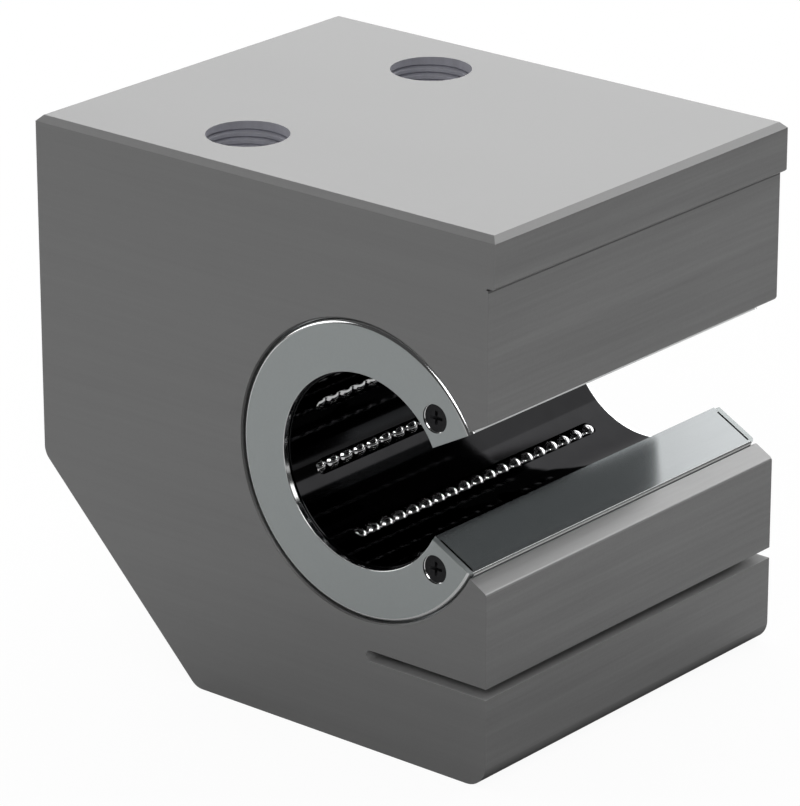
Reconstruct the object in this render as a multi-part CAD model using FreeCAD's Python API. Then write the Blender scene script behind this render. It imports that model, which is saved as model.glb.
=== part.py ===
import FreeCAD, Part
import math
import os

# Side-opening linear bearing block with adjustable clearance, for a 25 mm shaft.
# Frame: origin on the shaft axis at mid-length, X towards the open side,
# Y along the shaft, Z up. Millimetres and degrees.

V = FreeCAD.Vector
ORIGIN = V(0, 0, 0)
SHAFT_AXIS = V(0, 1, 0)
UP = V(0, 0, 1)

# Housing outline
LENGTH = 60.0
CLOSED_SIDE = 55.1
OPEN_SIDE = 20.25
AXIS_HEIGHT = 37.75
ABOVE_AXIS = 35.6
REFERENCE_STEP = 1.0
REFERENCE_HEIGHT = 6.7
RELIEF_HEIGHT = 0.25
RELIEF_DEPTH = 0.3
TOP_CHAMFER = 0.8
CORNER_CUT = 26.5
CUT_FILLET = 2.5
BASE_FILLET = 3.1
EDGE_BREAK = 0.25

# Seat of the bearing and the side opening
BORE_R = 20.0
HOUSING_HALF_OPENING = 29.0
BEARING_HALF_OPENING = 28.0

# Clamping slit under the bore, and its screw
SLIT_TOP = -24.0
SLIT_HEIGHT = 1.5
SLIT_END = 0.7
ADJUST_X = 12.0
ADJUST_R = 3.0
ADJUST_SINK = 0.9
ADJUST_HEX = 3.0
ADJUST_HEX_DEPTH = 3.2
ADJUST_RUNNING_GAP = 0.06
TIP_GAP = 0.05

# Tapped holes in the top face, at the diameter of their thread crests
TAP_X = -28.75
TAP_PITCH = 36.7
TAP_R = 5.46
TAP_DEPTH = 22.0
DRILL_POINT = 59.0

# Locating screw with a long dog point, under the bearing
LOCATE_R = 2.5
LOCATE_SINK = 1.2
LOCATE_HEX = 2.5
LOCATE_HEX_DEPTH = 2.6
DOG_R = 1.6
DOG_HOLE_R = 1.7
DOG_REACH = 1.7
SHOULDER_GAP = 0.5

# Bearing sleeve
SEAT_GAP = 0.02
BEARING_INSET = 0.1
RING_THICKNESS = 0.85
INNER_R = 12.75
LIP_ANGLE = 17.0
RELIEF_R = 16.35
SLEEVE_EDGE = 0.3
LIP_RECESS_DEPTH = 0.35
LIP_RECESS_IN = 13.6
LIP_RECESS_OUT = 19.35
RACEWAY_WIDTH = 2.2

# Ball circuits
SHAFT_R = 12.5
BALL_R = 1.25
BALL_PITCH = 2.63
TURN_R = 2.15
TURN_WALL = 1.5
LOAD_ANGLES = (70.5, 115.5, 160.5, 199.5, 244.5, 289.5)
RETURN_SIDES = (-1, -1, -1, -1, -1, 1)

# Ball cage
CAGE_GAP = 0.1
CAGE_END_GAP = 0.15
BALL_GAP = 0.05
SLOT_WIDTH = 2.1
SLOT_LIP = 0.3
CAGE_SIDE_ANGLE = 0.4

# End rings and their screws
RING_HOLE_R = 13.0
RING_ROOM = 0.15
RING_EDGE = 0.4
SCREW_PCD_R = 15.55
SCREW_ANGLE = 40.3
SCREW_R = 1.0
SCREW_LENGTH = 6.0
SCREW_GAP = 0.03
HEAD_R = 1.8
HEAD_SINK = 0.3
COUNTERSINK_R = 1.9
COUNTERSINK_LAND = 0.25
CROSS_LENGTH = 2.0
CROSS_WIDTH = 0.42
CROSS_DEPTH = 0.7

# Worked out from the sizes above
BASE_Z = -AXIS_HEIGHT
HALF = LENGTH / 2
SLIT_FLOOR = SLIT_TOP - SLIT_HEIGHT
SLEEVE_R = BORE_R - SEAT_GAP
BEARING_HALF = HALF - BEARING_INSET
SLEEVE_HALF = BEARING_HALF - RING_THICKNESS
RING_R = SLEEVE_R - RING_ROOM
LIP_END = BEARING_HALF_OPENING + LIP_ANGLE
LOAD_R = SHAFT_R + BALL_R
RACEWAY_R = LOAD_R + BALL_R + BALL_GAP / 2
TRACK_FLOOR = INNER_R + SLOT_LIP
TRACK_BALL_X = TRACK_FLOOR + BALL_R + BALL_GAP
CHANNEL_WIDTH = 2 * (BALL_R + BALL_GAP)
CAGE_R = RELIEF_R - CAGE_GAP
CAGE_HALF = SLEEVE_HALF - CAGE_END_GAP
ROW_ROOM = CAGE_HALF - TURN_R - CHANNEL_WIDTH / 2 - TURN_WALL
LOAD_BALLS = 1 + int(2 * ROW_ROOM / BALL_PITCH)
LOAD_HALF = (LOAD_BALLS - 1) * BALL_PITCH / 2
SLOT_HALF = LOAD_HALF + BALL_R * 0.7
RACEWAY_HALF = LOAD_HALF + BALL_R * 0.3
BEYOND = 3 * LENGTH

os.makedirs("parts", exist_ok=True)


def at_angle(shape, angle):
    # Turn a shape built along +X to an angle about the shaft axis.
    turned = shape.copy()
    turned.rotate(ORIGIN, SHAFT_AXIS, -angle)
    return turned


def polar(radius, angle, y=0.0):
    a = math.radians(angle)
    return V(radius * math.cos(a), y, radius * math.sin(a))


def prism(points, y0, y1):
    # Straight-sided outline in the XZ plane, drawn out along the shaft.
    corners = [V(x, y0, z) for x, z in points]
    face = Part.Face(Part.makePolygon(corners + corners[:1]))
    return face.extrude(V(0, y1 - y0, 0))


def sector(r_in, r_out, a0, a1, y0, y1):
    # Piece of a tube about the shaft axis, between two angles.
    mid = (a0 + a1) / 2
    edges = [
        Part.Arc(polar(r_out, a0, y0), polar(r_out, mid, y0), polar(r_out, a1, y0)).toShape(),
        Part.makeLine(polar(r_out, a1, y0), polar(r_in, a1, y0)),
        Part.Arc(polar(r_in, a1, y0), polar(r_in, mid, y0), polar(r_in, a0, y0)).toShape(),
        Part.makeLine(polar(r_in, a0, y0), polar(r_out, a0, y0)),
    ]
    return Part.Face(Part.Wire(edges)).extrude(V(0, y1 - y0, 0))


def edges_where(shape, test):
    # Edges whose two ends and middle all pass a test on their points.
    found = []
    for edge in shape.Edges:
        middle = edge.valueAt((edge.FirstParameter + edge.LastParameter) / 2)
        if all(test(p) for p in [v.Point for v in edge.Vertexes] + [middle]):
            found.append(edge)
    return found


def near(a, b):
    return abs(a - b) < 0.01


def radius_of(point):
    return math.hypot(point.x, point.z)


def hexagon_socket(across_flats, depth, x, y, z):
    # Hexagonal prism that rises from z, to be cut from a screw's lower end.
    corner = across_flats / math.sqrt(3)
    corners = []
    for i in range(7):
        a = math.radians(60 * i)
        corners.append(V(x + corner * math.cos(a), y + corner * math.sin(a), z))
    return Part.Face(Part.makePolygon(corners)).extrude(V(0, 0, depth))


def housing_outline():
    reference_x = OPEN_SIDE + REFERENCE_STEP
    step_z = ABOVE_AXIS - REFERENCE_HEIGHT
    return [
        (-CLOSED_SIDE, ABOVE_AXIS), (reference_x, ABOVE_AXIS), (reference_x, step_z),
        (OPEN_SIDE - RELIEF_DEPTH, step_z), (OPEN_SIDE - RELIEF_DEPTH, step_z - RELIEF_HEIGHT),
        (OPEN_SIDE, step_z - RELIEF_HEIGHT), (OPEN_SIDE, BASE_Z),
        (-CLOSED_SIDE + CORNER_CUT, BASE_Z), (-CLOSED_SIDE, BASE_Z + CORNER_CUT),
    ]


def tapped_hole(y):
    # Blind hole with a drill point.
    mouth = V(TAP_X, y, ABOVE_AXIS)
    hole = Part.makeCylinder(TAP_R, TAP_DEPTH, mouth, -UP)
    point_depth = TAP_R / math.tan(math.radians(DRILL_POINT))
    return hole.fuse(Part.makeCone(TAP_R, 0, point_depth, mouth - UP * TAP_DEPTH, -UP))


def base_hole(x, radius, top):
    # Vertical hole from the base up to a level.
    return Part.makeCylinder(radius, top - BASE_Z, V(x, 0, BASE_Z), UP)


def clamping_slit():
    # Saw cut in from the open side, with a round inner end.
    half = SLIT_HEIGHT / 2
    end = V(SLIT_END + half, -HALF, SLIT_TOP - half)
    start = V(SLIT_END + half, -HALF, SLIT_FLOOR)
    cut = Part.makeBox(BEYOND, LENGTH, SLIT_HEIGHT, start)
    return cut.fuse(Part.makeCylinder(half, LENGTH, end, SHAFT_AXIS))


def make_housing():
    body = prism(housing_outline(), -HALF, HALF)
    cut_x = -CLOSED_SIDE + CORNER_CUT
    cut_z = BASE_Z + CORNER_CUT

    def cut_edge(p):
        low = near(p.x, cut_x) and near(p.z, BASE_Z)
        high = near(p.x, -CLOSED_SIDE) and near(p.z, cut_z)
        return low or high

    def base_edge(p):
        return near(p.x, OPEN_SIDE) and near(p.z, BASE_Z)

    body = body.makeFillet(CUT_FILLET, edges_where(body, cut_edge))
    body = body.makeFillet(BASE_FILLET, edges_where(body, base_edge))
    body = body.makeChamfer(TOP_CHAMFER, edges_where(body, lambda p: near(p.z, ABOVE_AXIS)))
    body = body.cut(Part.makeCylinder(BORE_R, LENGTH, V(0, -HALF, 0), SHAFT_AXIS))
    rise = BEYOND * math.tan(math.radians(HOUSING_HALF_OPENING))
    body = body.cut(prism([(0, 0), (BEYOND, -rise), (BEYOND, rise)], -HALF, HALF))

    def broken_edge(p):
        # Outer edges of both jaws, and the lower edge of the reference strip.
        on_jaw = near(abs(math.degrees(math.atan2(p.z, p.x))), HOUSING_HALF_OPENING)
        under_strip = near(p.z, ABOVE_AXIS - REFERENCE_HEIGHT) and near(p.x, OPEN_SIDE + REFERENCE_STEP)
        return on_jaw and near(p.x, OPEN_SIDE) or under_strip

    body = body.makeChamfer(EDGE_BREAK, edges_where(body, broken_edge))
    cuts = [clamping_slit(), base_hole(ADJUST_X, ADJUST_R + ADJUST_RUNNING_GAP, SLIT_TOP)]
    cuts += [base_hole(0, LOCATE_R, SLIT_FLOOR), base_hole(0, DOG_HOLE_R, 0)]
    cuts += [tapped_hole(side * TAP_PITCH / 2) for side in (-1, 1)]
    return body.cut(cuts).removeSplitter()


def set_screw(x, radius, sink, tip_z, hexagon, socket_depth):
    # Headless screw standing in a base hole, socket down.
    foot = BASE_Z + sink
    body = Part.makeCylinder(radius, tip_z - foot, V(x, 0, foot), UP)
    return body.cut(hexagon_socket(hexagon, socket_depth, x, 0, foot))


def make_adjusting_screw():
    tip = SLIT_TOP - TIP_GAP
    return set_screw(ADJUST_X, ADJUST_R, ADJUST_SINK, tip, ADJUST_HEX, ADJUST_HEX_DEPTH)


def make_locating_screw():
    # The dog point passes the web under the bore and enters the sleeve's hole.
    shoulder = SLIT_FLOOR - SHOULDER_GAP
    radius = LOCATE_R - SEAT_GAP
    body = set_screw(0, radius, LOCATE_SINK, shoulder, LOCATE_HEX, LOCATE_HEX_DEPTH)
    tip = -SLEEVE_R + DOG_REACH
    return body.fuse(Part.makeCylinder(DOG_R, tip - shoulder, V(0, 0, shoulder), UP))


def screw_axis_points(side):
    # Where the two ring screws of one end stand, on the ring's outer face.
    face_y = side * BEARING_HALF
    return [polar(SCREW_PCD_R, sign * SCREW_ANGLE, face_y) for sign in (-1, 1)]


def countersink(point, side):
    # Straight land, cone and clearance for one ring screw, running into the bearing.
    inward = V(0, -side, 0)
    land = Part.makeCylinder(COUNTERSINK_R, COUNTERSINK_LAND, point, inward)
    cone_from = point + inward * COUNTERSINK_LAND
    cone = Part.makeCone(COUNTERSINK_R, SCREW_R, COUNTERSINK_R - SCREW_R, cone_from, inward)
    clearance = Part.makeCylinder(SCREW_R + SCREW_GAP, SCREW_LENGTH + SCREW_GAP, point, inward)
    return land.fuse([cone, clearance])


def make_sleeve():
    opening = BEARING_HALF_OPENING
    body = sector(RELIEF_R, SLEEVE_R, opening, 360 - opening, -SLEEVE_HALF, SLEEVE_HALF)
    lips = ((opening, LIP_END), (360 - LIP_END, 360 - opening))
    solid_lips = [sector(INNER_R, SLEEVE_R, a0, a1, -SLEEVE_HALF, SLEEVE_HALF) for a0, a1 in lips]
    raceways = []
    raceway_half_angle = math.degrees(RACEWAY_WIDTH / 2 / RACEWAY_R)
    middle_r = (RELIEF_R + SLEEVE_R) / 2
    for angle in LOAD_ANGLES:
        a0, a1 = angle - raceway_half_angle, angle + raceway_half_angle
        raceways.append(sector(RACEWAY_R, middle_r, a0, a1, -RACEWAY_HALF, RACEWAY_HALF))
    body = body.fuse(solid_lips + raceways).removeSplitter()

    def lip_corner(p):
        on_cut = near(abs(math.degrees(math.atan2(p.z, p.x))), opening)
        return on_cut and near(radius_of(p), SLEEVE_R)

    body = body.makeChamfer(SLEEVE_EDGE, edges_where(body, lip_corner))
    cuts = [Part.makeCylinder(DOG_HOLE_R, BORE_R, ORIGIN, -UP)]
    for side in (-1, 1):
        y0 = side * SLEEVE_HALF
        y1 = y0 - side * LIP_RECESS_DEPTH
        for a0, a1 in lips:
            cuts.append(sector(LIP_RECESS_IN, LIP_RECESS_OUT, a0, a1, y0, y1))
        cuts += [countersink(p, side) for p in screw_axis_points(side)]
    return body.cut(cuts)


def long_hole(half_width, half_length, r0, r1):
    # Round-ended prism along the shaft, reaching out along X from r0 to r1.
    deep = r1 - r0
    bar = Part.makeBox(deep, 2 * half_length, 2 * half_width, V(r0, -half_length, -half_width))
    ends = []
    for y in (-half_length, half_length):
        ends.append(Part.makeCylinder(half_width, deep, V(r0, y, 0), V(1, 0, 0)))
    return bar.fuse(ends).removeSplitter()


def race_track(side):
    # Flat-floored closed track round its island, with the load row in its middle plane.
    deep = CAGE_R + 1
    track = long_hole(TURN_R + CHANNEL_WIDTH / 2, LOAD_HALF, TRACK_FLOOR, deep)
    track = track.cut(long_hole(TURN_R - CHANNEL_WIDTH / 2, LOAD_HALF, TRACK_FLOOR, deep))
    track.translate(V(0, 0, side * TURN_R))
    return track


def make_cage():
    a0 = LIP_END + CAGE_SIDE_ANGLE
    body = sector(INNER_R, CAGE_R, a0, 360 - a0, -CAGE_HALF, CAGE_HALF)
    slot = long_hole(SLOT_WIDTH / 2, SLOT_HALF - SLOT_WIDTH / 2, INNER_R - 1, LOAD_R)
    cuts = [Part.makeCylinder(DOG_HOLE_R, BORE_R, ORIGIN, -UP)]
    for angle, side in zip(LOAD_ANGLES, RETURN_SIDES):
        cuts.append(at_angle(slot, angle))
        cuts.append(at_angle(race_track(side), angle))
    return body.cut(cuts)


def faceted_ball(axis_weights):
    # Ball with flat facets: its corners are every order and sign of the three weights.
    corners = set()
    for i in range(3):
        for signs in range(8):
            w = [axis_weights[(i + k) % 3] for k in range(3)]
            corners.add(tuple(w[k] * (1 if signs >> k & 1 else -1) + 0.0 for k in range(3)))
    corners = [V(*c).normalize() * BALL_R for c in sorted(corners)]
    faces = []
    steps = (-1, 0, 1)
    for direction in [V(i, j, k) for i in steps for j in steps for k in steps]:
        if direction.Length == 0:
            continue
        outward = V(direction).normalize()
        reach = max(c.dot(outward) for c in corners)
        rim = [c for c in corners if c.dot(outward) > reach - 0.001]
        if len(rim) < 3:
            continue
        side = (rim[0] - outward * reach).normalize()
        other = outward.cross(side)
        rim.sort(key=lambda c: math.atan2(c.dot(other), c.dot(side)))
        faces.append(Part.Face(Part.makePolygon(rim + rim[:1])))
    return Part.Solid(Part.Shell(faces))


def circuit_places(angle, side):
    # Ball centres round one circuit: the load row, then the turns and the return row.
    straight = 2 * LOAD_HALF
    turn = math.pi * TURN_R
    loop = 2 * (straight + turn)
    load_row = [polar(LOAD_R, angle, i * BALL_PITCH - LOAD_HALF) for i in range(LOAD_BALLS)]
    others = int(loop / BALL_PITCH) - LOAD_BALLS
    spacing = (loop - straight) / (others + 1)
    return_row = []
    for i in range(1, others + 1):
        s = i * spacing
        if s < turn:
            swing = s / TURN_R
            y = LOAD_HALF + TURN_R * math.sin(swing)
        elif s < straight + turn:
            swing = math.pi
            y = LOAD_HALF - (s - turn)
        else:
            swing = (loop - straight - s) / TURN_R
            y = -LOAD_HALF - TURN_R * math.sin(swing)
        across = side * TURN_R * (1 - math.cos(swing))
        radius = math.hypot(TRACK_BALL_X, across)
        return_row.append(polar(radius, angle + math.degrees(math.atan2(across, TRACK_BALL_X)), y))
    return load_row, return_row


def balls_at(ball, places):
    copies = []
    for place in places:
        copy = ball.copy()
        copy.translate(place)
        copies.append(copy)
    return Part.makeCompound(copies)


def make_end_ring(side):
    # Flat ring that closes the bearing, chamfered outside, with two countersinks.
    opening = BEARING_HALF_OPENING
    outer_y = side * BEARING_HALF
    y_low = min(outer_y, outer_y - side * RING_THICKNESS)
    body = sector(RING_HOLE_R, RING_R, opening, 360 - opening, y_low, y_low + RING_THICKNESS)

    def outer_rim(p):
        return near(p.y, outer_y) and near(radius_of(p), RING_R)

    body = body.makeChamfer(RING_EDGE, edges_where(body, outer_rim))
    return body.cut([countersink(p, side) for p in screw_axis_points(side)])


def make_ring_screw():
    # Countersunk screw with a cross recess, head at the origin, shank along +Y.
    cone_height = HEAD_R - SCREW_R
    head = Part.makeCone(HEAD_R, SCREW_R, cone_height, ORIGIN, SHAFT_AXIS)
    shank = Part.makeCylinder(SCREW_R, SCREW_LENGTH - HEAD_SINK, ORIGIN, SHAFT_AXIS)
    body = head.fuse(shank).removeSplitter()
    slots = []
    half, narrow = CROSS_LENGTH / 2, CROSS_WIDTH / 2
    for across in (V(1, 0, 0), V(0, 0, 1)):
        edge = SHAFT_AXIS.cross(across) * narrow
        mouth_left, mouth_right = across * -half, across * half
        floor_left, floor_right = across * -half * 0.3, across * half * 0.3
        depth = SHAFT_AXIS * CROSS_DEPTH
        outline = [mouth_left, mouth_right, floor_right + depth, floor_left + depth, mouth_left]
        face = Part.Face(Part.makePolygon([p - edge for p in outline]))
        slots.append(face.extrude(edge * 2))
    return body.cut(slots)


def ring_screws(side):
    # Both screws of one ring; the rear pair is the front one turned about Z.
    screw = make_ring_screw()
    if side > 0:
        screw.rotate(ORIGIN, UP, 180)
    sunk = V(0, -side * HEAD_SINK, 0)
    return balls_at(screw, [p + sunk for p in screw_axis_points(side)])


nodes = {
    "housing": make_housing(),
    "bearing_sleeve": make_sleeve(),
    "ball_cage": make_cage(),
    "end_ring_front": make_end_ring(-1),
    "end_ring_rear": make_end_ring(1),
    "ring_screws_front": ring_screws(-1),
    "ring_screws_rear": ring_screws(1),
    "adjusting_screw": make_adjusting_screw(),
    "locating_screw": make_locating_screw(),
}

load_ball = faceted_ball((1.0, 1.0, 0.0))
hidden_ball = faceted_ball((1.0, 0.0, 0.0))
for number, (row_angle, row_side) in enumerate(zip(LOAD_ANGLES, RETURN_SIDES), start=1):
    loaded, returning = circuit_places(row_angle, row_side)
    nodes["load_balls_%d" % number] = balls_at(load_ball, loaded)
    nodes["return_balls_%d" % number] = balls_at(hidden_ball, returning)

for name, shape in nodes.items():
    shape.exportStep("parts/%s.step" % name)
    print("%-20s solids %3d  volume %10.2f" % (name, len(shape.Solids), shape.Volume))
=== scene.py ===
import bpy
import math
from mathutils import Matrix, Vector


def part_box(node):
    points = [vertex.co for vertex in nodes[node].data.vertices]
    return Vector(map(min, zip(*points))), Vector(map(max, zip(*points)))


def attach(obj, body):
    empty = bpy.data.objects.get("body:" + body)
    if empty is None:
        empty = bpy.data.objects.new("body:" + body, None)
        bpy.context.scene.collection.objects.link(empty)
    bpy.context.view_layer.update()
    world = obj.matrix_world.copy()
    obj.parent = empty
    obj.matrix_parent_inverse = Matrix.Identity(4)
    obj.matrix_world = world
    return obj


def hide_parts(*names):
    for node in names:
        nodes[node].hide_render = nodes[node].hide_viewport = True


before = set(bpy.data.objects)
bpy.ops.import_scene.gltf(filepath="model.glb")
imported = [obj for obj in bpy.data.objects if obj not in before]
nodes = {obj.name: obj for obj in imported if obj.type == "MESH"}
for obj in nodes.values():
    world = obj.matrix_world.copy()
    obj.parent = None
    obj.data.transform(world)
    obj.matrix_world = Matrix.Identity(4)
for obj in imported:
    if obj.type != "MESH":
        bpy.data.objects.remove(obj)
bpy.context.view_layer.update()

# Lengths are in metres, and MM makes them of millimetres.
MM = 0.001
# An edge or a face counts as lying on a plane or a circle within this distance.
SNAP = 0.02 * MM
# How much of a face's normal lies along an axis, from barely leaning that way to flat across it
BARELY = 0.05
LEANING = 0.3
FACING = 0.9
FLAT = 0.98
BLOCK_LOW, BLOCK_HIGH = (Vector(corner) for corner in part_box("housing"))
CIRCUITS = range(1, 7)

# Housing: the reference strip's foot, the slit, the rounded foot and the lower jaw
SIDE_X = BLOCK_HIGH.x - 1.0 * MM
STRIP_FOOT_Z = 28.66 * MM
# Band of painted shade on the side face just below the reference strip
STRIP_SHADE_HEIGHT = 0.37 * MM
STRIP_SHADE_REACH = 0.1 * MM
SLIT_TOP_Z = -24.0 * MM
SLIT_FLOOR_Z = -25.5 * MM
SLIT_FROM_X = 0.5 * MM
# Painted shade on the rounded foot: it begins at the first height and is full at the second.
FOOT_SHADE_START_Z = -34.9 * MM
FOOT_FULL_SHADE_Z = -36.9 * MM
JAW_FROM_X = 15 * MM
JAW_BELOW_Z = -5 * MM
HOUSING_EDGE = 0.05 * MM
HOUSING_COLOR = (0.28, 0.28, 0.28)
# Near-black colour of the painted shade where the rounded foot meets the floor
FOOT_SHADE_COLOR = (0.012, 0.012, 0.012)

# Seat of the bearing in the housing
SEAT_R = 20.0 * MM
SEAT_CHAMFER = 0.18 * MM

# Mounting holes and their fine thread
HOLE_X = -28.75 * MM
HOLE_Y = 18.35 * MM
HOLE_REACH_R = 6.2 * MM
THREAD_PITCH = 1.0 * MM
THREAD_TURNS = 18
THREAD_CREST_R = 5.46 * MM
THREAD_RUN_IN = 1.05 * MM
THREAD_START_ANGLE = math.radians(240)
GROOVE_RADIUS = 0.5 * MM
GROOVE_FLATTENED = 0.03
STEPS_PER_TURN = 48

# Sleeve: the bright lips of its cut faces, and the gap behind each end ring, which is painted in deep
# shade
LIP_EDGE = 0.04 * MM
LIP_EDGE_FROM_R = 19.4 * MM
LIP_EDGE_FROM_X = 10 * MM
LIP_EDGE_LENGTH = 50 * MM
LIP_FACE_FROM_R = 19.6 * MM
LIP_FACING = 0.75
GAP_FROM_Y = 28.69 * MM
GAP_IN_R = 13.6 * MM
GAP_OUT_R = 19.36 * MM

# End rings and their screws
RING_HOLE_R = 13.0 * MM
RING_HOLE_EDGE_R = 13.2 * MM
RIM_FROM_R = 19.3 * MM
RIM_FROM_Y = 29.3 * MM
ROLLED_RIM = 0.24 * MM
RING_SCREW_CIRCLE_R = 15.55 * MM
RING_SCREW_ANGLES = (math.radians(40.3), math.radians(-40.3))
RING_SCREW_REACH_R = 2.1 * MM
RING_SCREW_EDGE = 0.02 * MM
SET_SCREW_EDGE = 0.03 * MM

# Balls in a load row
BALL_RADIUS = 1.25 * MM
BALL_PITCH = 2.63 * MM
BALLS_IN_ROW = 19
BALL_DETAIL = 3

# Camera as fitted to the corners of the block in the photograph
CAMERA_PLACE = Vector((0.368659, -0.462242, 0.227161))
CAMERA_AZIMUTH = math.radians(39.867)
CAMERA_ELEVATION = math.radians(21.088)
CAMERA_LENS = 218.43
CAMERA_SHIFT = (-0.01014, 0.01082)
SENSOR = 36.0

# Studio: floor, white background, and each lamp's place, aim, width, height and power
FLOOR_Z = BLOCK_LOW.z - 0.02 * MM
FLOOR_SIZE = 12.0
FLOOR_COLOR = (0.65, 0.65, 0.65)
FLOOR_GLOW = 1.05
GLOW_SHARE = 0.9
MIRRORED_SHARE = 0.05
LAMPS = {
    "overhead": ((-0.8, 0.2, 1.2), (-0.8, 0.2, 0), 2.4, 1.3, 12.5),
    "backdrop_panel": ((-1.3, 2.5, 1.35), (-1.3, 0, 1.35), 4.4, 1.9, 56),
    "side_panel": ((1.9, 2.5, 1.7), (1.9, 0, 1.7), 2.0, 2.2, 19),
    "left_panel": ((-1.9, -0.75, 0.62), (0, 0, 0), 1.6, 0.9, 8),
    "front_panel": ((0.86, -1.38, 1.2), (0, 0, 0), 1.2, 0.8, 10),
}


# Nodes that the materials share

def new_material(name, color, metallic, roughness):
    material = bpy.data.materials.new(name)
    material.use_nodes = True
    tree = material.node_tree
    shader = tree.nodes["Principled BSDF"]
    shader.inputs["Base Color"].default_value = (*color, 1)
    shader.inputs["Metallic"].default_value = metallic
    shader.inputs["Roughness"].default_value = roughness
    return material, tree, shader


def worked_out(tree, operation, first, second):
    # The second value is a plain number or the output of another node.
    node = tree.nodes.new("ShaderNodeMath")
    node.operation = operation
    tree.links.new(first, node.inputs[0])
    if isinstance(second, float):
        node.inputs[1].default_value = second
    else:
        tree.links.new(second, node.inputs[1])
    return node.outputs[0]


def object_pattern(tree, stretch):
    # Noise on Object coordinates, stretched by a Mapping node into a grain.
    coordinates = tree.nodes.new("ShaderNodeTexCoord")
    mapping = tree.nodes.new("ShaderNodeMapping")
    mapping.inputs["Scale"].default_value = stretch
    noise = tree.nodes.new("ShaderNodeTexNoise")
    noise.inputs["Scale"].default_value = 1.0
    noise.inputs["Detail"].default_value = 3.0
    tree.links.new(coordinates.outputs["Object"], mapping.inputs["Vector"])
    tree.links.new(mapping.outputs["Vector"], noise.inputs["Vector"])
    return noise.outputs["Fac"]


def layered_pattern(tree, layers):
    # Several stretched noises added by weight, from broad streaks to fine speckle.
    total = None
    for stretch, weight in layers:
        share = worked_out(tree, "MULTIPLY", object_pattern(tree, stretch), weight)
        total = share if total is None else worked_out(tree, "ADD", total, share)
    return total


def ranged(tree, value, low, high):
    span = tree.nodes.new("ShaderNodeMapRange")
    span.inputs["To Min"].default_value = low
    span.inputs["To Max"].default_value = high
    tree.links.new(value, span.inputs["Value"])
    return span.outputs["Result"]


def two_colors(tree, shader, value, low_color, high_color):
    # Base colour between two colours, led by a value. Returns the ramp, for its positions.
    ramp = tree.nodes.new("ShaderNodeValToRGB")
    ramp.color_ramp.elements[0].color = (*low_color, 1)
    ramp.color_ramp.elements[1].color = (*high_color, 1)
    tree.links.new(value, ramp.inputs["Fac"])
    tree.links.new(ramp.outputs["Color"], shader.inputs["Base Color"])
    return ramp.color_ramp


def shade_varied(tree, shader, value, color, spread):
    # Base colour that a pattern makes a little darker and lighter.
    darker = [c * (1 - spread) for c in color]
    lighter = [c * (1 + spread) for c in color]
    ramp = two_colors(tree, shader, value, darker, lighter)
    ramp.elements[0].position = 0.3
    ramp.elements[1].position = 0.7


def roughness_varied(tree, shader, value, low, high):
    tree.links.new(ranged(tree, value, low, high), shader.inputs["Roughness"])


def bumped(tree, shader, value, strength, distance):
    bump = tree.nodes.new("ShaderNodeBump")
    bump.inputs["Strength"].default_value = strength
    bump.inputs["Distance"].default_value = distance
    tree.links.new(value, bump.inputs["Height"])
    tree.links.new(bump.outputs["Normal"], shader.inputs["Normal"])


# Materials

def milled_aluminium(name, spread):
    material, tree, shader = new_material(name, HOUSING_COLOR, metallic=0.85, roughness=0.42)
    # Streaks run level on all upright faces; the top and the base are plain.
    broad_streaks = ((14, 14, 420), 0.5)
    fine_streaks = ((60, 60, 1900), 0.35)
    speckle = ((2600, 2600, 2600), 0.15)
    grain = layered_pattern(tree, (broad_streaks, fine_streaks, speckle))
    shade_varied(tree, shader, grain, HOUSING_COLOR, spread)
    roughness_varied(tree, shader, grain, low=0.36, high=0.46)
    bumped(tree, shader, grain, strength=0.05, distance=0.006 * MM)
    return material


def painted_shade_foot_aluminium():
    # Milled aluminium with painted shade: its base colour darkens towards the floor along the rounded
    # foot, standing in for the shade beneath the block.
    name = "painted_shade_foot_aluminium"
    material, tree, shader = new_material(name, HOUSING_COLOR, metallic=0.85, roughness=0.42)
    coordinates = tree.nodes.new("ShaderNodeTexCoord")
    parts = tree.nodes.new("ShaderNodeSeparateXYZ")
    tree.links.new(coordinates.outputs["Object"], parts.inputs["Vector"])
    height = tree.nodes.new("ShaderNodeMapRange")
    height.inputs["From Min"].default_value = FOOT_FULL_SHADE_Z
    height.inputs["From Max"].default_value = FOOT_SHADE_START_Z
    tree.links.new(parts.outputs["Z"], height.inputs["Value"])
    two_colors(tree, shader, height.outputs["Result"], FOOT_SHADE_COLOR, HOUSING_COLOR)
    return material


def ground_aluminium():
    color = (0.37, 0.37, 0.37)
    material, tree, shader = new_material("ground_aluminium", color, metallic=0.85, roughness=0.32)
    broad_streaks = ((900, 20, 900), 0.6)
    fine_streaks = ((2600, 200, 2600), 0.4)
    grain = layered_pattern(tree, (broad_streaks, fine_streaks))
    shade_varied(tree, shader, grain, color, spread=0.06)
    roughness_varied(tree, shader, grain, low=0.27, high=0.36)
    return material


# Dark aluminium that paints shade on thin lines: below the reference strip and on the seat chamfers
def painted_shade_edge_aluminium():
    color = (0.15, 0.15, 0.15)
    material, tree, shader = new_material("painted_shade_edge_aluminium", color, metallic=0.85, roughness=0.5)
    shade_varied(tree, shader, object_pattern(tree, (900, 60, 900)), color, spread=0.05)
    return material


def sawn_aluminium():
    color = (0.38, 0.38, 0.38)
    material, tree, shader = new_material("sawn_aluminium", color, metallic=0.0, roughness=0.6)
    shade_varied(tree, shader, object_pattern(tree, (900, 60, 900)), color, spread=0.05)
    return material


def tapped_hole_wall():
    color = (0.52, 0.52, 0.57)
    material, tree, shader = new_material("tapped_hole_wall", color, metallic=0.0, roughness=0.5)
    shade_varied(tree, shader, object_pattern(tree, (900, 900, 300)), color, spread=0.06)
    return material


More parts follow.
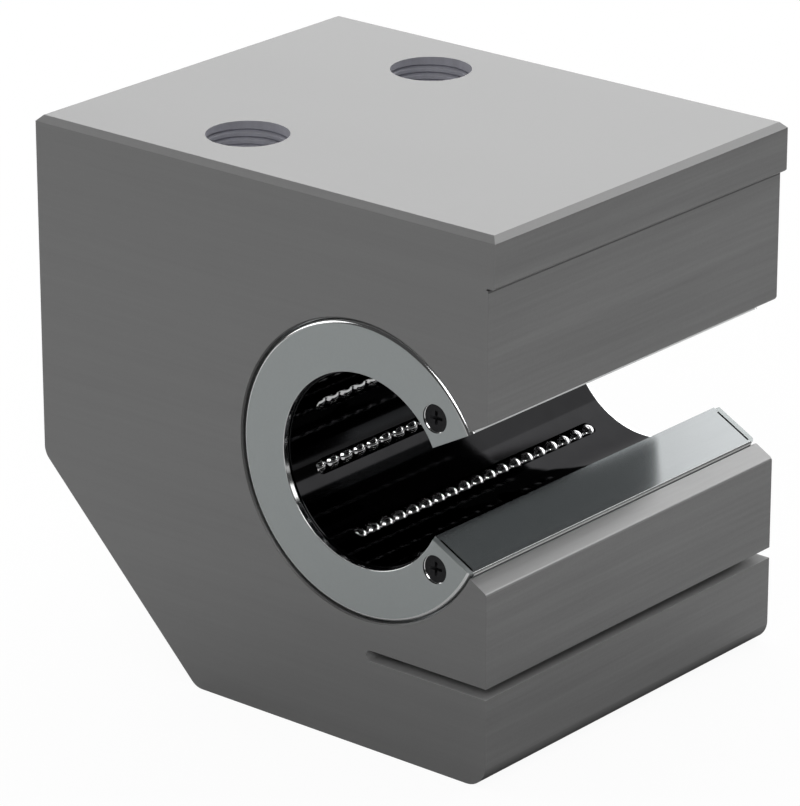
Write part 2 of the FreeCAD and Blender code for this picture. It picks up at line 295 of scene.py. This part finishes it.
def satin_ring_steel():
    color = (0.46, 0.49, 0.49)
    material, tree, shader = new_material("satin_ring_steel", color, metallic=0.9, roughness=0.35)
    grain = object_pattern(tree, (3200, 3200, 3200))
    shade_varied(tree, shader, grain, color, spread=0.015)
    roughness_varied(tree, shader, grain, low=0.33, high=0.37)
    return material


def polished_sleeve_steel():
    color = (0.32, 0.335, 0.34)
    material, tree, shader = new_material("polished_sleeve_steel", color, metallic=1.0, roughness=0.15)
    roughness_varied(tree, shader, object_pattern(tree, (4000, 90, 4000)), low=0.13, high=0.17)
    return material


def polished_edge_steel():
    color = (0.88, 0.89, 0.89)
    material, tree, shader = new_material("polished_edge_steel", color, metallic=1.0, roughness=0.12)
    roughness_varied(tree, shader, object_pattern(tree, (1500, 1500, 1500)), low=0.10, high=0.15)
    return material


def chrome_ball_steel():
    color = (0.82, 0.82, 0.83)
    material, tree, shader = new_material("chrome_ball_steel", color, metallic=1.0, roughness=0.05)
    roughness_varied(tree, shader, object_pattern(tree, (500, 500, 500)), low=0.04, high=0.07)
    return material


def black_oxide_steel():
    color = (0.02, 0.02, 0.022)
    material, tree, shader = new_material("black_oxide", color, metallic=0.7, roughness=0.4)
    shade_varied(tree, shader, object_pattern(tree, (2500, 2500, 2500)), color, spread=0.2)
    return material


def glossy_black_polymer():
    # A dark metal base with a held-back edge tint gives the even gloss at every angle.
    color = (0.024, 0.024, 0.025)
    material, tree, shader = new_material("glossy_black_polymer", color, metallic=1.0, roughness=0.07)
    shader.inputs["Specular Tint"].default_value = (0.5, 0.5, 0.5, 1)
    shade_varied(tree, shader, object_pattern(tree, (300, 300, 300)), color, spread=0.05)
    return material


# Near-black painted shade for the gap behind each end ring
def painted_deep_shade():
    color = (0.006, 0.006, 0.006)
    material, tree, shader = new_material("painted_deep_shade", color, metallic=0.0, roughness=0.8)
    shader.inputs["Specular IOR Level"].default_value = 0.1
    shade_varied(tree, shader, object_pattern(tree, (900, 900, 900)), color, spread=0.2)
    return material


aluminium = milled_aluminium("milled_aluminium", spread=0.05)
side_aluminium = milled_aluminium("side_milled_aluminium", spread=0.14)
painted_shade_foot = painted_shade_foot_aluminium()
ground_face = ground_aluminium()
painted_shade_edge = painted_shade_edge_aluminium()
slit_wall = sawn_aluminium()
hole_wall = tapped_hole_wall()
ring_steel = satin_ring_steel()
sleeve_steel = polished_sleeve_steel()
polished_edge = polished_edge_steel()
ball_steel = chrome_ball_steel()
dark_screw = black_oxide_steel()
polymer = glossy_black_polymer()
painted_shade_gap = painted_deep_shade()


# Steps that finish a copy of a CAD solid

def nothing_selected():
    bpy.ops.object.select_all(action="DESELECT")


def merged_copy(node, name):
    # Copy of a CAD solid, its facets merged back into whole faces.
    nothing_selected()
    piece = nodes[node].copy()
    piece.data = nodes[node].data.copy()
    piece.name = name
    piece.parent = None
    bpy.context.scene.collection.objects.link(piece)
    piece.select_set(True)
    bpy.context.view_layer.objects.active = piece
    if piece.data.has_custom_normals:
        bpy.ops.mesh.customdata_custom_splitnormals_clear()
    bpy.ops.object.mode_set(mode="EDIT")
    bpy.ops.mesh.select_all(action="SELECT")
    bpy.ops.mesh.remove_doubles(threshold=0.0005 * MM)
    bpy.ops.mesh.dissolve_limited(angle_limit=math.radians(0.05))
    bpy.ops.object.mode_set(mode="OBJECT")
    return piece


def split_at_height(piece, z):
    bpy.ops.object.mode_set(mode="EDIT")
    bpy.ops.mesh.select_all(action="SELECT")
    bpy.ops.mesh.bisect(plane_co=(0, 0, z), plane_no=(0, 0, 1))
    bpy.ops.object.mode_set(mode="OBJECT")


def broken_edges(piece, width):
    bevel = piece.modifiers.new("broken_edges", "BEVEL")
    bevel.width = width
    bevel.segments = 2
    bevel.limit_method = "ANGLE"
    bevel.angle_limit = math.radians(35)
    bpy.ops.object.modifier_apply(modifier="broken_edges")


def chosen_edges_bevelled(piece, weight_of, width, segments):
    # The weight of an edge, from 0 to 1, is worked out from its two ends.
    weights = piece.data.attributes.new("bevel_weight_edge", "FLOAT", "EDGE")
    for edge in piece.data.edges:
        ends = [piece.data.vertices[i].co for i in edge.vertices]
        weights.data[edge.index].value = weight_of(ends)
    bevel = piece.modifiers.new("chosen_edges", "BEVEL")
    bevel.width = width
    bevel.segments = segments
    bevel.limit_method = "WEIGHT"
    bpy.ops.object.modifier_apply(modifier="chosen_edges")


def flat_faces_kept_flat(piece, smooth_angle):
    # Smooth shading that leaves the large machined faces with their true normals.
    bpy.ops.object.shade_smooth_by_angle(angle=math.radians(smooth_angle))
    weighted = piece.modifiers.new("flat_faces", "WEIGHTED_NORMAL")
    weighted.keep_sharp = True
    bpy.ops.object.modifier_apply(modifier="flat_faces")


def in_place_of(piece, node, finishes, body="block"):
    piece.data.materials.clear()
    for finish in finishes:
        piece.data.materials.append(finish)
    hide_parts(node)
    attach(piece, body)


def faces_finished(piece, finishes, finish_of):
    for face in piece.data.polygons:
        face.material_index = finishes.index(finish_of(face))


def finished_copy(node, name, finish, edge=None, body="block"):
    piece = merged_copy(node, name)
    if edge:
        broken_edges(piece, edge)
    flat_faces_kept_flat(piece, smooth_angle=30)
    in_place_of(piece, node, [finish], body)


def distance_from_axis(point):
    return math.hypot(point.x, point.z)


# Housing with its threads, seat chamfers and separately finished faces

def thread_cutter(name, x, y):
    # Three-cornered cutter that winds up round the hole, its point outwards.
    nothing_selected()
    low_end = BLOCK_HIGH.z - THREAD_RUN_IN - THREAD_TURNS * THREAD_PITCH
    outwards = Matrix.Rotation(THREAD_START_ANGLE, 4, "Z")
    # The circle's Y, where its first corner is, turns outwards and its X turns up.
    point_out = outwards @ Matrix(((0, 1, 0, 0), (0, 0, 1, 0), (1, 0, 0, 0), (0, 0, 0, 1)))
    place = outwards @ Vector((THREAD_CREST_R, 0, low_end))
    bpy.ops.mesh.primitive_circle_add(vertices=3, radius=GROOVE_RADIUS, location=place,
                                      rotation=point_out.to_euler(), scale=(1, GROOVE_FLATTENED, 1))
    cutter = bpy.context.object
    cutter.name = name
    bpy.ops.object.transform_apply(location=True, rotation=True, scale=True)
    winding = cutter.modifiers.new("winding", "SCREW")
    winding.axis = "Z"
    winding.angle = 2 * math.pi
    winding.screw_offset = THREAD_PITCH
    winding.iterations = THREAD_TURNS
    winding.steps = STEPS_PER_TURN
    winding.render_steps = STEPS_PER_TURN
    bpy.ops.object.modifier_apply(modifier="winding")
    cutter.location = (x, y, 0)
    bpy.ops.object.transform_apply(location=True, rotation=True, scale=True)
    bpy.ops.object.mode_set(mode="EDIT")
    bpy.ops.mesh.select_all(action="SELECT")
    bpy.ops.mesh.fill_holes(sides=4)
    bpy.ops.mesh.select_all(action="SELECT")
    bpy.ops.mesh.normals_make_consistent(inside=False)
    bpy.ops.object.mode_set(mode="OBJECT")
    return cutter


def seat_edge(ends):
    # The seat's round edge in the front or the rear face.
    on_face = all(abs(co.y) > BLOCK_HIGH.y - SNAP for co in ends)
    on_seat = all(abs(distance_from_axis(co) - SEAT_R) < SNAP for co in ends)
    return 1.0 if on_face and on_seat else 0.0


def in_mounting_hole(face):
    away = min(math.hypot(face.center.x - HOLE_X, face.center.y - y) for y in (-HOLE_Y, HOLE_Y))
    return away < HOLE_REACH_R and face.center.z < BLOCK_HIGH.z - SNAP / 2


def on_strip_painted_shade(face):
    # Thin band of painted shade on the side face at the foot of the reference strip.
    on_side = abs(face.center.x - SIDE_X) < STRIP_SHADE_REACH and face.normal.x > LEANING
    return on_side and STRIP_FOOT_Z - STRIP_SHADE_HEIGHT < face.center.z < STRIP_FOOT_Z


# The seat chamfers get painted shade as well.
def on_seat_chamfer(face):
    past_seat = distance_from_axis(face.center) - SEAT_R
    slanted = LEANING < abs(face.normal.y) < FACING
    at_end = abs(face.center.y) > BLOCK_HIGH.y - SEAT_CHAMFER
    return slanted and at_end and -SNAP < past_seat < SEAT_CHAMFER + SNAP


def in_slit(face):
    between = SLIT_FLOOR_Z - SNAP / 2 < face.center.z < SLIT_TOP_Z + SNAP / 2
    return between and face.center.x > SLIT_FROM_X and abs(face.normal.y) < FACING


# Faces of the rounded foot that get the painted shade
def on_painted_shade_foot(face):
    return face.center.z < FOOT_SHADE_START_Z and face.normal.x > BARELY and BARELY < -face.normal.z < FLAT


def on_jaw_cut(face):
    slanted_up = face.normal.x > BARELY and face.normal.z > LEANING
    return slanted_up and face.center.x > JAW_FROM_X and face.center.z < JAW_BELOW_Z


def housing_finish(face):
    if in_mounting_hole(face):
        return hole_wall
    # Painted shade on the band below the strip and on the seat chamfers
    if on_strip_painted_shade(face) or on_seat_chamfer(face):
        return painted_shade_edge
    if in_slit(face):
        return slit_wall
    # Painted shade on the rounded foot, darker towards the floor
    if on_painted_shade_foot(face):
        return painted_shade_foot
    if on_jaw_cut(face):
        return ground_face
    return side_aluminium if face.normal.x > FACING else aluminium


def threaded_housing():
    cutters = [thread_cutter("thread_cutter_%d" % i, HOLE_X, y) for i, y in enumerate((-HOLE_Y, HOLE_Y))]
    piece = merged_copy("housing", "machined_housing")
    # This cut bounds the band of painted shade below the strip.
    split_at_height(piece, STRIP_FOOT_Z - STRIP_SHADE_HEIGHT)
    chosen_edges_bevelled(piece, seat_edge, SEAT_CHAMFER, segments=1)
    broken_edges(piece, HOUSING_EDGE)
    for cutter in cutters:
        cut = piece.modifiers.new("thread", "BOOLEAN")
        cut.object = cutter
        cut.operation = "DIFFERENCE"
        cut.solver = "EXACT"
        bpy.ops.object.modifier_apply(modifier="thread")
        bpy.data.objects.remove(cutter)
    flat_faces_kept_flat(piece, smooth_angle=30)
    finishes = [aluminium, hole_wall, painted_shade_edge, ground_face, slit_wall, painted_shade_foot, side_aluminium]
    in_place_of(piece, "housing", finishes)
    faces_finished(piece, finishes, housing_finish)


# Sleeve with bright lips and gaps in painted shade

def lip_edge(ends):
    long_edge = abs(ends[0].y - ends[1].y) > LIP_EDGE_LENGTH
    outside = all(distance_from_axis(co) > LIP_EDGE_FROM_R and co.x > LIP_EDGE_FROM_X for co in ends)
    return 1.0 if long_edge and outside else 0.0


def sleeve_finish(face):
    # The thin gap behind each end ring, at the cut faces of the bearing, is painted near-black as deep
    # shade.
    radius = distance_from_axis(face.center)
    if abs(face.center.y) > GAP_FROM_Y and GAP_IN_R < radius < GAP_OUT_R and face.center.x > 0:
        return painted_shade_gap
    on_lip = radius > LIP_FACE_FROM_R and face.normal.x > LIP_FACING
    return polished_edge if on_lip else sleeve_steel


def hardened_sleeve():
    piece = merged_copy("bearing_sleeve", "hardened_sleeve")
    chosen_edges_bevelled(piece, lip_edge, LIP_EDGE, segments=2)
    flat_faces_kept_flat(piece, smooth_angle=30)
    finishes = [sleeve_steel, painted_shade_gap, polished_edge]
    in_place_of(piece, "bearing_sleeve", finishes)
    faces_finished(piece, finishes, sleeve_finish)


# End rings, the outer rim rolled round and the edge of the hole half as much

def ring_edge(ends):
    on_rim = all(distance_from_axis(co) > RIM_FROM_R for co in ends)
    on_hole = all(abs(distance_from_axis(co) - RING_HOLE_R) < SNAP for co in ends)
    level = abs(ends[0].y - ends[1].y) < SNAP / 2
    faces_outside = all(abs(co.y) > RIM_FROM_Y for co in ends)
    weight = 1.0 if on_rim else 0.5 if on_hole else 0.0
    return weight if level and faces_outside else 0.0


def at_ring_screw(point):
    for angle in RING_SCREW_ANGLES:
        across = point.x - RING_SCREW_CIRCLE_R * math.cos(angle)
        up = point.z - RING_SCREW_CIRCLE_R * math.sin(angle)
        if math.hypot(across, up) < RING_SCREW_REACH_R:
            return True
    return False


def ring_finish(face):
    # Rim, hole edge and countersinks are polished, and the flat face and the cut ends are satin.
    radius = distance_from_axis(face.center)
    on_edge = radius > RIM_FROM_R or radius < RING_HOLE_EDGE_R or at_ring_screw(face.center)
    return polished_edge if on_edge and abs(face.normal.y) < FLAT else ring_steel


def end_ring(end):
    piece = merged_copy("end_ring_" + end, "ring_" + end)
    chosen_edges_bevelled(piece, ring_edge, ROLLED_RIM, segments=4)
    flat_faces_kept_flat(piece, smooth_angle=35)
    finishes = [ring_steel, polished_edge]
    in_place_of(piece, "end_ring_" + end, finishes)
    faces_finished(piece, finishes, ring_finish)


# Rows of balls, each modelled once and repeated along its slot

def ball_row(number):
    low, high = (Vector(corner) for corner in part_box("load_balls_%d" % number))
    middle = (low + high) / 2
    first = (middle.x, -(BALLS_IN_ROW - 1) * BALL_PITCH / 2, middle.z)
    nothing_selected()
    bpy.ops.mesh.primitive_ico_sphere_add(subdivisions=BALL_DETAIL, radius=BALL_RADIUS, location=first)
    row = bpy.context.object
    row.name = "ball_row_%d" % number
    bpy.ops.object.transform_apply(location=True, rotation=True, scale=True)
    repeat = row.modifiers.new("along_slot", "ARRAY")
    repeat.count = BALLS_IN_ROW
    repeat.use_relative_offset = False
    repeat.use_constant_offset = True
    repeat.constant_offset_displace = (0, BALL_PITCH, 0)
    bpy.ops.object.modifier_apply(modifier="along_slot")
    bpy.ops.object.shade_smooth()
    row.data.materials.append(ball_steel)
    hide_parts("load_balls_%d" % number)
    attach(row, "block")


def hidden_balls_finished(number):
    # The returning balls stay as the CAD node has them.
    balls = nodes["return_balls_%d" % number]
    balls.data.materials.clear()
    balls.data.materials.append(ball_steel)


threaded_housing()
hardened_sleeve()
finished_copy("ball_cage", "moulded_cage", polymer)
for end in ("front", "rear"):
    end_ring(end)
    finished_copy("ring_screws_" + end, "cross_screws_" + end, dark_screw, RING_SCREW_EDGE)
finished_copy("adjusting_screw", "socket_screw_adjusting", dark_screw, SET_SCREW_EDGE, body="adjuster")
finished_copy("locating_screw", "socket_screw_locating", dark_screw, SET_SCREW_EDGE)
for number in CIRCUITS:
    ball_row(number)
    hidden_balls_finished(number)


# Floor, background, lamps and camera

def white_to_eye(tree):
    # 1 for rays from the camera or through glass, and a small share for rays off shiny faces.
    path = tree.nodes.new("ShaderNodeLightPath")
    mirrored = worked_out(tree, "MULTIPLY", path.outputs["Is Glossy Ray"], MIRRORED_SHARE)
    seen = worked_out(tree, "MAXIMUM", path.outputs["Is Camera Ray"], mirrored)
    return worked_out(tree, "MAXIMUM", seen, path.outputs["Is Transmission Ray"])


def studio_world():
    world = bpy.data.worlds.new("studio")
    world.use_nodes = True
    bpy.context.scene.world = world
    tree = world.node_tree
    background = tree.nodes["Background"]
    background.inputs["Color"].default_value = (1, 1, 1, 1)
    tree.links.new(white_to_eye(tree), background.inputs["Strength"])


def studio_floor():
    nothing_selected()
    bpy.ops.mesh.primitive_plane_add(size=FLOOR_SIZE, location=(0, 0, FLOOR_Z))
    floor = bpy.context.object
    floor.name = "studio_floor"
    material, tree, shader = new_material("pale_floor", FLOOR_COLOR, metallic=0.0, roughness=0.9)
    glow = tree.nodes.new("ShaderNodeEmission")
    glow.inputs["Color"].default_value = (1, 1, 1, 1)
    glow.inputs["Strength"].default_value = FLOOR_GLOW
    blend = tree.nodes.new("ShaderNodeMixShader")
    share = worked_out(tree, "MULTIPLY", white_to_eye(tree), GLOW_SHARE)
    tree.links.new(share, blend.inputs["Fac"])
    tree.links.new(shader.outputs[0], blend.inputs[1])
    tree.links.new(glow.outputs[0], blend.inputs[2])
    tree.links.new(blend.outputs[0], tree.nodes["Material Output"].inputs["Surface"])
    floor.data.materials.append(material)


def stood_at(name, data, place, turn):
    holder = bpy.data.objects.new(name, data)
    bpy.context.scene.collection.objects.link(holder)
    holder.matrix_world = Matrix.Translation(place) @ turn.to_matrix().to_4x4()
    return holder


def soft_lamp(name, place, aim, width, height, power):
    lamp = bpy.data.lights.new(name, "AREA")
    lamp.shape = "RECTANGLE"
    lamp.size = width
    lamp.size_y = height
    lamp.energy = power
    direction = Vector(aim) - Vector(place)
    stood_at(name, lamp, place, direction.to_track_quat("-Z", "Y"))


def photo_camera():
    camera = bpy.data.cameras.new("photo_camera")
    camera.lens = CAMERA_LENS
    camera.sensor_width = SENSOR
    camera.shift_x, camera.shift_y = CAMERA_SHIFT
    camera.clip_start = 0.01
    back = Vector((math.sin(CAMERA_AZIMUTH) * math.cos(CAMERA_ELEVATION),
                   -math.cos(CAMERA_AZIMUTH) * math.cos(CAMERA_ELEVATION),
                   math.sin(CAMERA_ELEVATION)))
    turn = back.to_track_quat("Z", "Y")
    bpy.context.scene.camera = stood_at("photo_camera", camera, CAMERA_PLACE, turn)


studio_world()
studio_floor()
for name, settings in LAMPS.items():
    soft_lamp(name, *settings)
photo_camera()

bpy.context.scene.view_settings.view_transform = "Standard"
